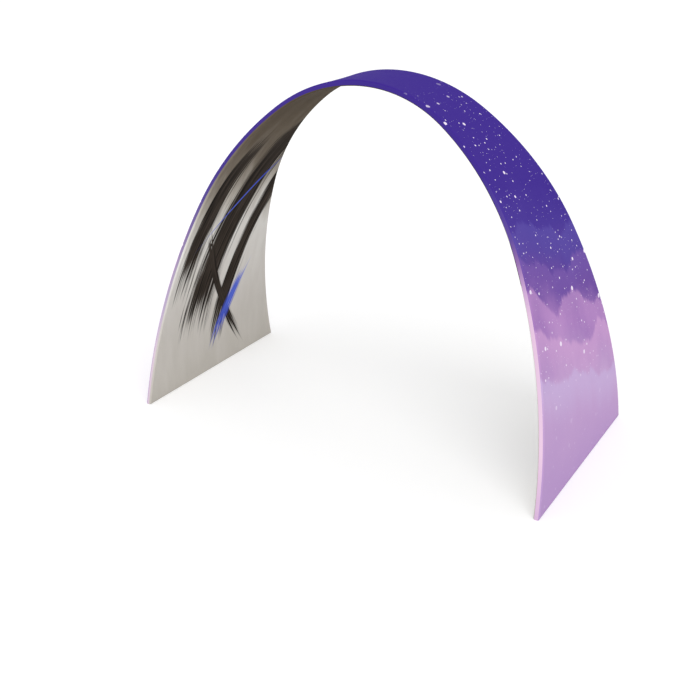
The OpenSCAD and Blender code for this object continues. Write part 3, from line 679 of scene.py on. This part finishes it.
def knit(tree, place, shader):
    """Fine jersey knit: ribs along the sheet and courses across it, drawn at 1.2 mm so that they show."""
    rib = add(tree, "TexWave", place, RIB_RATE, wave_type="BANDS", bands_direction="Y")
    course = add(tree, "TexWave", place, COURSE_RATE, wave_type="BANDS", bands_direction="X")
    both = add(tree, "Math", rib.outputs[1], course.outputs[1], operation="MULTIPLY")
    bump = add(tree, "Bump", named={"Strength": 0.6, "Distance": KNIT_DEPTH, "Height": both})
    tree.links.new(bump.outputs[0], shader.inputs["Normal"])


# The soft rim of a dot in metres, and the smallest dot as a share of the largest
DOT_EDGE = 0.0012
SMALLEST_DOT = 0.4


def dots(tree, place, cell, radius, share, seed):
    """Round dots, one in some cells of a grid of that size: 1 inside a dot and 0 outside."""
    shifted = add(tree, "VectorMath", place, (seed, seed * 0.7, 0), operation="ADD")
    cells = add(tree, "TexVoronoi", shifted, named={"Scale": 1 / cell}, voronoi_dimensions="2D")
    chance = add(tree, "SeparateXYZ", cells.outputs["Color"])
    size = add(tree, "MapRange", chance.outputs[1], 0.0, 1.0, SMALLEST_DOT * radius / cell, radius / cell)
    soft = add(tree, "Math", size, cells.outputs["Distance"], operation="SUBTRACT")
    inside = add(tree, "MapRange", soft, 0.0, DOT_EDGE / cell, 0.0, 1.0, **SMOOTH)
    kept = add(tree, "Math", chance.outputs[0], share, operation="LESS_THAN")
    return add(tree, "Math", inside, kept, operation="MULTIPLY")


# Peaks to a metre along a ridge, their height, the crest's soft edge, and how far down the mist fades
PEAK_RATE = 3.2
PEAK_HEIGHT = 0.07
CREST_EDGE = 0.045
MIST_REACH = 0.42


def ridge(tree, colour, down, y, level, height, length, phase, code, strength):
    """A ridge in mist over the colour: a wave with small peaks, crisp along its crest and fading below."""
    swing = add(tree, "Math", y, 2 * math.pi / length, phase, operation="MULTIPLY_ADD")
    swing = add(tree, "Math", swing, operation="SINE")
    crest = add(tree, "Math", swing, height, level, operation="MULTIPLY_ADD")
    here = add(tree, "CombineXYZ", y, phase, 0.0)
    peaks = add(tree, "TexNoise", here, noise_dimensions="2D",
                named={"Scale": PEAK_RATE, "Detail": 5.0, "Roughness": 0.62})
    peaks = add(tree, "MapRange", peaks, 0.3, 0.7, -PEAK_HEIGHT, PEAK_HEIGHT)
    crest = add(tree, "Math", crest, peaks, operation="ADD")
    below = add(tree, "Math", down, crest, operation="SUBTRACT")
    edge = add(tree, "MapRange", below, 0.0, CREST_EDGE, 0.0, 1.0, **SMOOTH)
    fade = add(tree, "MapRange", below, 0.0, MIST_REACH, strength, 0.0, interpolation_type="SMOOTHERSTEP")
    share = add(tree, "Math", edge, fade, operation="MULTIPLY")
    return add(tree, "Mix", named={SHARE: share, UNDER: colour, OVER: code}, **COLOURS).outputs[MIXED]


# Matt polyester that scatters nearly all light, with a faint sheen from its fibres
CLOTH_FINISH = {
    "Roughness": 0.85,
    "IOR": 1.45,
    "Specular_IOR_Level": 0.08,
    "Sheen_Weight": 0.01,
    "Sheen_Roughness": 0.4,
}

# The outer print, in metres: colours down from the crown, ridges in mist, and specks of paint. A ridge
# gives its level, height, length, phase, colour and strength, a size of speck its cell, radius, share
# and shift. The specks come and go between two distances from the crown
OUTER_STOPS = [
    (0.0, "#3e298c"), (1.2, "#412c8e"), (1.45, "#493694"), (1.7, "#553f98"),
    (1.95, "#6a4a9b"), (2.2, "#a077b8"), (2.6, "#c4a2cf"), (3.2, "#ba99cb"),
]
BACK_DELAY = -0.30
HAZE_RATE = 1.6
HAZE_REACH = 0.16
RIDGES = [
    (1.50, 0.040, 0.62, 0.3, "#5f52a8", 0.50), (1.76, 0.050, 0.83, 2.1, "#7d5cab", 0.60),
    (2.00, 0.045, 0.55, 4.0, "#c294cb", 0.62), (2.26, 0.055, 0.95, 1.2, "#d3a6d4", 0.60),
    (2.52, 0.050, 0.70, 5.2, "#c9b4de", 0.60),
]
SPECKS = [(0.026, 0.0028, 0.22, 2.7), (0.060, 0.0065, 0.32, 1.3), (0.19, 0.017, 0.42, 4.1)]
SPECK_COLOUR = "#efe2f5"
SPECKS_COME = (0.2, 0.7)
SPECKS_GO = (2.3, 2.8)
SPECKS_LEFT = 0.15


def outer_print():
    """Dye-printed stretch polyester: matt, with a little sheen. Violet above, waves, pale lilac below."""
    made, tree, shader = new_material("dye_printed_polyester_outer", **CLOTH_FINISH)
    place, _, down, y = cloth_places(tree)
    haze = add(tree, "TexNoise", place, named={"Scale": HAZE_RATE, "Detail": 5.0, "Roughness": 0.6})
    warp = add(tree, "MapRange", haze, 0.25, 0.75, -HAZE_REACH, HAZE_REACH)
    lower = add(tree, "Math", y, BACK_DELAY, down, operation="MULTIPLY_ADD")
    reach = add(tree, "Math", lower, warp, operation="ADD")
    colour = colour_along(tree, reach, OUTER_STOPS)
    for mark in RIDGES:
        colour = ridge(tree, colour, lower, y, *mark)
    high = add(tree, "MapRange", down, *SPECKS_COME, 0.0, 1.0, **SMOOTH)
    low = add(tree, "MapRange", down, *SPECKS_GO, 1.0, SPECKS_LEFT, **SMOOTH)
    where = add(tree, "Math", high, low, operation="MULTIPLY")
    for mark in SPECKS:
        spots = dots(tree, place, *mark)
        spots = add(tree, "Math", spots, where, operation="MULTIPLY")
        mix = add(tree, "Mix", named={SHARE: spots, UNDER: colour, OVER: SPECK_COLOUR}, **COLOURS)
        colour = mix.outputs[MIXED]
    tree.links.new(colour, shader.inputs["Base Color"])
    knit(tree, place, shader)
    return made


# The inner print: colours down from the crown, and strokes in two paints. Each stroke gives its middle,
# slope, bow and half width across the cloth, where it starts and ends down it, and its two colours
# The stops darken towards the crown: partly the print's grey, partly painted shade on the cloth facing down
INNER_PRINT_AND_SHADE_STOPS = [
    (0.0, "#554a3d"), (0.5, "#584d40"), (0.9, "#665b4d"), (1.25, "#81776b"),
    (1.6, "#bab3a9"), (2.0, "#e6e3de"), (2.6, "#d2cdc7"), (3.2, "#c2bdb5"),
]
INK = ("#15100c", "#4d433b")
BLUE = ("#3648c4", "#7086e8")
STROKES = [
    (-0.34, 0.42, 0.25, 0.095, 1.30, 2.80, INK), (0.02, 0.38, 0.30, 0.190, 0.95, 2.60, INK),
    (0.36, 0.30, 0.20, 0.115, 1.10, 2.25, INK), (0.24, -0.35, 0.40, 0.050, 2.00, 2.90, INK),
    (-0.62, 0.60, 0.00, 0.060, 2.45, 2.80, BLUE), (0.22, 1.20, 0.00, 0.018, 1.35, 1.85, BLUE),
]

# The drifts in the ground colour, and the bend and the ragged sides and ends of a stroke
DRIFT_TURN = 0.6
DRIFT_RATES = (1.1, 4.5, 1.0)
DRIFT_REACH = 0.35
STROKE_LEVEL = 1.9
BOW_SHARE = 0.3
BRISTLE_RATES = (1.6, 42.0, 1.0)
RAGGED_SIDE = 1.5
SIDE_FADE = (1.75, 1.35)
RAGGED_TIP = 0.9
START_FADE = (0.38, 0.55)
END_FADE = (0.60, 0.35)


def brush_stroke(tree, colour, down, across, middle, slope, bow, width, start, end, paints):
    """A dry brush stroke: dark along a bent line, with bristle streaks that break up its sides and ends."""
    along = add(tree, "Math", down, STROKE_LEVEL, operation="SUBTRACT")
    square = add(tree, "Math", along, along, operation="MULTIPLY")
    line = add(tree, "Math", along, slope, middle, operation="MULTIPLY_ADD")
    line = add(tree, "Math", square, -bow * BOW_SHARE, line, operation="MULTIPLY_ADD")
    aside = add(tree, "Math", across, line, operation="SUBTRACT")
    bristle_place = add(tree, "CombineXYZ", down, aside, 0.0)
    bristle_place = add(tree, "VectorMath", bristle_place, BRISTLE_RATES, operation="MULTIPLY")
    bristles = add(tree, "TexNoise", bristle_place, named={"Scale": 1.0, "Detail": 3.0, "Roughness": 0.6})
    away = add(tree, "Math", aside, operation="ABSOLUTE")
    away = add(tree, "Math", away, width, operation="DIVIDE")
    ragged = add(tree, "Math", bristles, RAGGED_SIDE, away, operation="MULTIPLY_ADD")
    share = add(tree, "MapRange", ragged, *SIDE_FADE, 0.0, 1.0, **SMOOTH)
    tips = add(tree, "Math", bristles, RAGGED_TIP, down, operation="MULTIPLY_ADD")
    for end_place, fade in ((start, START_FADE), (end, END_FADE)):
        kept = add(tree, "MapRange", tips, end_place + fade[0], end_place + fade[1], 0.0, 1.0, **SMOOTH)
        share = add(tree, "Math", share, kept, operation="MULTIPLY")
    shade = add(tree, "MapRange", bristles, 0.35, 0.75, 0.0, 1.0)
    paint = add(tree, "Mix", named={SHARE: shade, UNDER: paints[0], OVER: paints[1]}, **COLOURS)
    mix = add(tree, "Mix", named={SHARE: share, UNDER: colour, OVER: paint.outputs[MIXED]}, **COLOURS)
    return mix.outputs[MIXED]


def inner_print():
    """Dye-printed stretch polyester on the walkway side: warm greys, soft drifts and dark brush strokes."""
    made, tree, shader = new_material("dye_printed_polyester_inner", **CLOTH_FINISH)
    place, s, down, y = cloth_places(tree)
    turned = add(tree, "Math", s, operation="SIGN")
    across = add(tree, "Math", y, turned, operation="MULTIPLY")
    drift_place = add(tree, "Mapping", place, named={"Rotation": (0, 0, DRIFT_TURN), "Scale": DRIFT_RATES})
    drift = add(tree, "TexNoise", drift_place, named={"Scale": 1.0, "Detail": 5.0, "Roughness": 0.6})
    warp = add(tree, "MapRange", drift, 0.2, 0.8, -DRIFT_REACH, DRIFT_REACH)
    reach = add(tree, "Math", down, warp, operation="ADD")
    # Ground colour down the leg, with its painted shade towards the crown
    colour = colour_along(tree, reach, INNER_PRINT_AND_SHADE_STOPS)
    for stroke in STROKES:
        colour = brush_stroke(tree, colour, down, across, *stroke)
    tree.links.new(colour, shader.inputs["Base Color"])
    knit(tree, place, shader)
    return made


# The edge's colours down from the crown, on the right and on the left
EDGE_RIGHT = [
    (0.0, "#433090"), (1.05, "#443190"), (1.25, "#53419a"), (1.48, "#644e9e"), (1.62, "#946fad"),
    (1.8, "#ceaad5"), (1.95, "#e5c4e0"), (2.8, "#eccce5"), (3.2, "#d8b6d9"),
]
EDGE_LEFT = [
    (0.0, "#433090"), (1.25, "#47378c"), (1.55, "#5a4b92"), (1.85, "#8474a3"), (2.15, "#ad9ebc"),
    (2.45, "#bdaec9"), (2.8, "#dccbd8"), (3.2, "#d6c3d2"),
]


def edge_print():
    """Dye-printed stretch polyester along the edges: violet above and pink below, lower on the left leg."""
    made, tree, shader = new_material("dye_printed_polyester_edge", **CLOTH_FINISH)
    place, s, down, _ = cloth_places(tree)
    on_right = add(tree, "Math", s, 0.0, operation="GREATER_THAN")
    right = colour_along(tree, down, EDGE_RIGHT)
    left = colour_along(tree, down, EDGE_LEFT)
    mix = add(tree, "Mix", named={SHARE: on_right, UNDER: left, OVER: right}, **COLOURS)
    tree.links.new(mix.outputs[MIXED], shader.inputs["Base Color"])
    knit(tree, place, shader)
    return made


HEM_INNER, HEM_OUTER = INNER_PRINT_AND_SHADE_STOPS[-1][1], OUTER_STOPS[-1][1]


def hem_print():
    """Dye-printed stretch polyester at the floor: lilac outside and grey inside."""
    made, tree, shader = new_material("dye_printed_polyester_hem", **CLOTH_FINISH)
    place, outwards, _, _ = cloth_places(tree)
    share = add(tree, "MapRange", outwards, -0.1, 0.1, 0.0, 1.0, **SMOOTH)
    mix = add(tree, "Mix", named={SHARE: share, UNDER: HEM_INNER, OVER: HEM_OUTER}, **COLOURS)
    tree.links.new(mix.outputs[MIXED], shader.inputs["Base Color"])
    knit(tree, place, shader)
    return made


# The grain's darkness, and marks from handling that are about eight times as broad as the grain
GRAIN_DARK = 0.1
MARKS_RATE = 0.12
MARKS_SPAN = (0.35, 0.65)
MARKS_DARK = 0.25
MARKS_COLOUR = "#5a5a58"
SMOOTHEST, ROUGHEST = 0.7, 1.6


def plain(name, colour, grain, depth, rough, **values):
    """A plain material: fine grain in its colour and surface, and broad handling marks that dull it.

    grain is the size of the fine unevenness in metres, depth its height, and rough the roughness that
    the marks vary.
    """
    made, tree, shader = new_material(name, colour, **values)
    place = add(tree, "TexCoord").outputs["Object"]
    noise = add(tree, "TexNoise", place, named={"Scale": 1 / grain, "Detail": 4.0})
    share = add(tree, "MapRange", noise, 0.3, 0.7, 0.0, GRAIN_DARK)
    grained = add(tree, "Mix", named={SHARE: share, UNDER: colour, OVER: "#000000"}, **COLOURS)
    rate = MARKS_RATE / grain
    marks = add(tree, "TexNoise", place, named={"Scale": rate, "Detail": 3.0, "Roughness": 0.7})
    share = add(tree, "MapRange", marks, *MARKS_SPAN, 0.0, MARKS_DARK)
    under = grained.outputs[MIXED]
    dulled = add(tree, "Mix", named={SHARE: share, UNDER: under, OVER: MARKS_COLOUR}, **COLOURS)
    tree.links.new(dulled.outputs[MIXED], shader.inputs["Base Color"])
    gloss = add(tree, "MapRange", marks, *MARKS_SPAN, SMOOTHEST * rough, min(ROUGHEST * rough, 1.0))
    tree.links.new(gloss.outputs[0], shader.inputs["Roughness"])
    bump = add(tree, "Bump", named={"Strength": 0.3, "Distance": depth, "Height": noise})
    tree.links.new(bump.outputs[0], shader.inputs["Normal"])
    return made


# The pitch of the tape's twill, and the width of each band of its herringbone
TAPE_TWILL = 0.0009
TAPE_BAND = 0.0022
TWILL_DEPTH = 0.0001
# The gaps' colour is the ribs' own colour darkened as painted shade in the twill's grooves
TAPE_GAP_SHADE, TAPE_RIB = "#2a2346", "#3f3562"


def tape_weave():
    """Woven polyester tape: fine herringbone twill, matt, its gaps darkened by painted shade."""
    made, tree, shader = new_material("woven_polyester_tape", Roughness=0.85, Specular_IOR_Level=0.2)
    place = add(tree, "UVMap", uv_map="cut")
    parts = add(tree, "SeparateXYZ", place)
    folded = add(tree, "Math", parts.outputs[1], TAPE_BAND, operation="PINGPONG")
    reach = add(tree, "Math", parts.outputs[0], folded, operation="ADD")
    rib = add(tree, "Math", reach, 2 * math.pi / TAPE_TWILL, operation="MULTIPLY")
    rib = add(tree, "Math", rib, operation="SINE")
    height = add(tree, "MapRange", rib, -1.0, 1.0, 0.0, 1.0)
    # Painted shade: darker in the twill's grooves, paler on its ribs
    mix = add(tree, "Mix", named={SHARE: height, UNDER: TAPE_GAP_SHADE, OVER: TAPE_RIB}, **COLOURS)
    tree.links.new(mix.outputs[MIXED], shader.inputs["Base Color"])
    bump = add(tree, "Bump", named={"Strength": 0.6, "Distance": TWILL_DEPTH, "Height": height})
    tree.links.new(bump.outputs[0], shader.inputs["Normal"])
    return made


DRAWN_RATE = 900.0
DRAWN_ROUGHNESS = (0.28, 0.42)


def drawn_tube():
    """Drawn aluminium tube: bright, its gloss finely uneven, as the die leaves it."""
    made, tree, shader = new_material("drawn_aluminium_tube", "#c6c9cc", Metallic=1.0)
    place = add(tree, "TexCoord").outputs["Object"]
    noise = add(tree, "TexNoise", place, named={"Scale": DRAWN_RATE, "Detail": 3.0})
    rough = add(tree, "MapRange", noise, 0.3, 0.7, *DRAWN_ROUGHNESS)
    tree.links.new(rough.outputs[0], shader.inputs["Roughness"])
    return made


def solids(*endings):
    """The solids whose names end in one of these words."""
    return [node for name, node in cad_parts.items() if name.endswith(endings)]


wear([outer_face, *outer_turns], outer_print())
wear([inner_face, *inner_turns], inner_print())
wear(edge_strips, edge_print())
wear(hems, hem_print())
wear(tapes, tape_weave())
wear(solids("_tube", "_spreader"), drawn_tube())

# Spun thread is dull and finely rough
wear(dark_thread, plain("dark_polyester_thread", "#3a3058", 0.0004, 0.00005, 0.7))
wear(thread, plain("spun_polyester_thread", "#8d76b4", 0.0004, 0.00005, 0.7))

# Extruded nylon has a soft gloss
wear(coils, plain("nylon_zip_coil", "#2a2340", 0.0005, 0.00002, 0.35))

# Plated zinc is a bright warm grey, dulled where it is handled
zip_metal = plain("nickel_plated_zinc", "#b2b2ac", 0.0006, 0.00002, 0.22, Metallic=1.0)
wear(solids("zip_slider", "zip_pull", "zip_stops"), zip_metal)

# A sand casting is grainy and grey
wear(solids("_corner"), plain("cast_aluminium", "#9a9ca0", 0.0015, 0.0001, 0.5, Metallic=1.0))

# Steel is near black from its oxide bath, grey as rolled, and pale where it is plated
wear(solids("set_screws"), plain("black_oxide_steel", "#2c2c2e", 0.0006, 0.00002, 0.4, Metallic=1.0))
wear(solids("snap_springs"), plain("spring_steel", "#8b8e92", 0.0006, 0.00002, 0.3, Metallic=1.0))
wear(solids("_button"), plain("zinc_plated_steel", "#c8cacc", 0.0006, 0.00002, 0.3, Metallic=1.0))


# Surroundings

WORLD_LIGHT = 0.74
FLOOR_REACH = 150.0
FLOOR_LIFT = 0.27
SUN_PLACE = (3.2, -4.2, 5.0)
SUN_STRENGTH = 1.25
SUN_SPREAD = math.radians(55)


def shows_background(tree):
    """1 for rays that show the backdrop or floor, directly, in gloss or through glass, and 0 for others."""
    rays = add(tree, "LightPath").outputs
    seen = add(tree, "Math", rays["Is Camera Ray"], rays["Is Glossy Ray"], operation="MAXIMUM")
    return add(tree, "Math", seen, rays["Is Transmission Ray"], operation="MAXIMUM")


def surroundings():
    """Pale floor, white backdrop, and soft light from all round, with a wide soft key from the front."""
    scene = bpy.context.scene
    scene.view_settings.view_transform = "Standard"
    world = bpy.data.worlds.new("studio")
    scene.world = world
    world.use_nodes = True
    tree = world.node_tree
    tree.nodes.clear()
    strength = add(tree, "MapRange", shows_background(tree), 0.0, 1.0, WORLD_LIGHT, 1.0)
    light = add(tree, "Background", (1, 1, 1, 1), strength)
    add(tree, "OutputWorld", light)
    corners = np.array([[-1, -1, 0], [1, -1, 0], [1, 1, 0], [-1, 1, 0]], float) * FLOOR_REACH
    floor = add_mesh("floor", corners, np.array([[0, 1, 2, 3]]))
    made, tree, shader = new_material("pale_floor", "#e8e8e8", Roughness=0.9, Specular_IOR_Level=0.1,
                                      Emission_Color=(1, 1, 1, 1))
    lift = add(tree, "Math", shows_background(tree), FLOOR_LIFT, operation="MULTIPLY")
    tree.links.new(lift.outputs[0], shader.inputs["Emission Strength"])
    wear([floor], made)
    light = bpy.data.lights.new("key", "SUN")
    light.energy = SUN_STRENGTH
    light.angle = SUN_SPREAD
    lamp = bpy.data.objects.new("key", light)
    scene.collection.objects.link(lamp)
    lamp.rotation_euler = (-Vector(SUN_PLACE)).to_track_quat("-Z", "Y").to_euler()


surroundings()
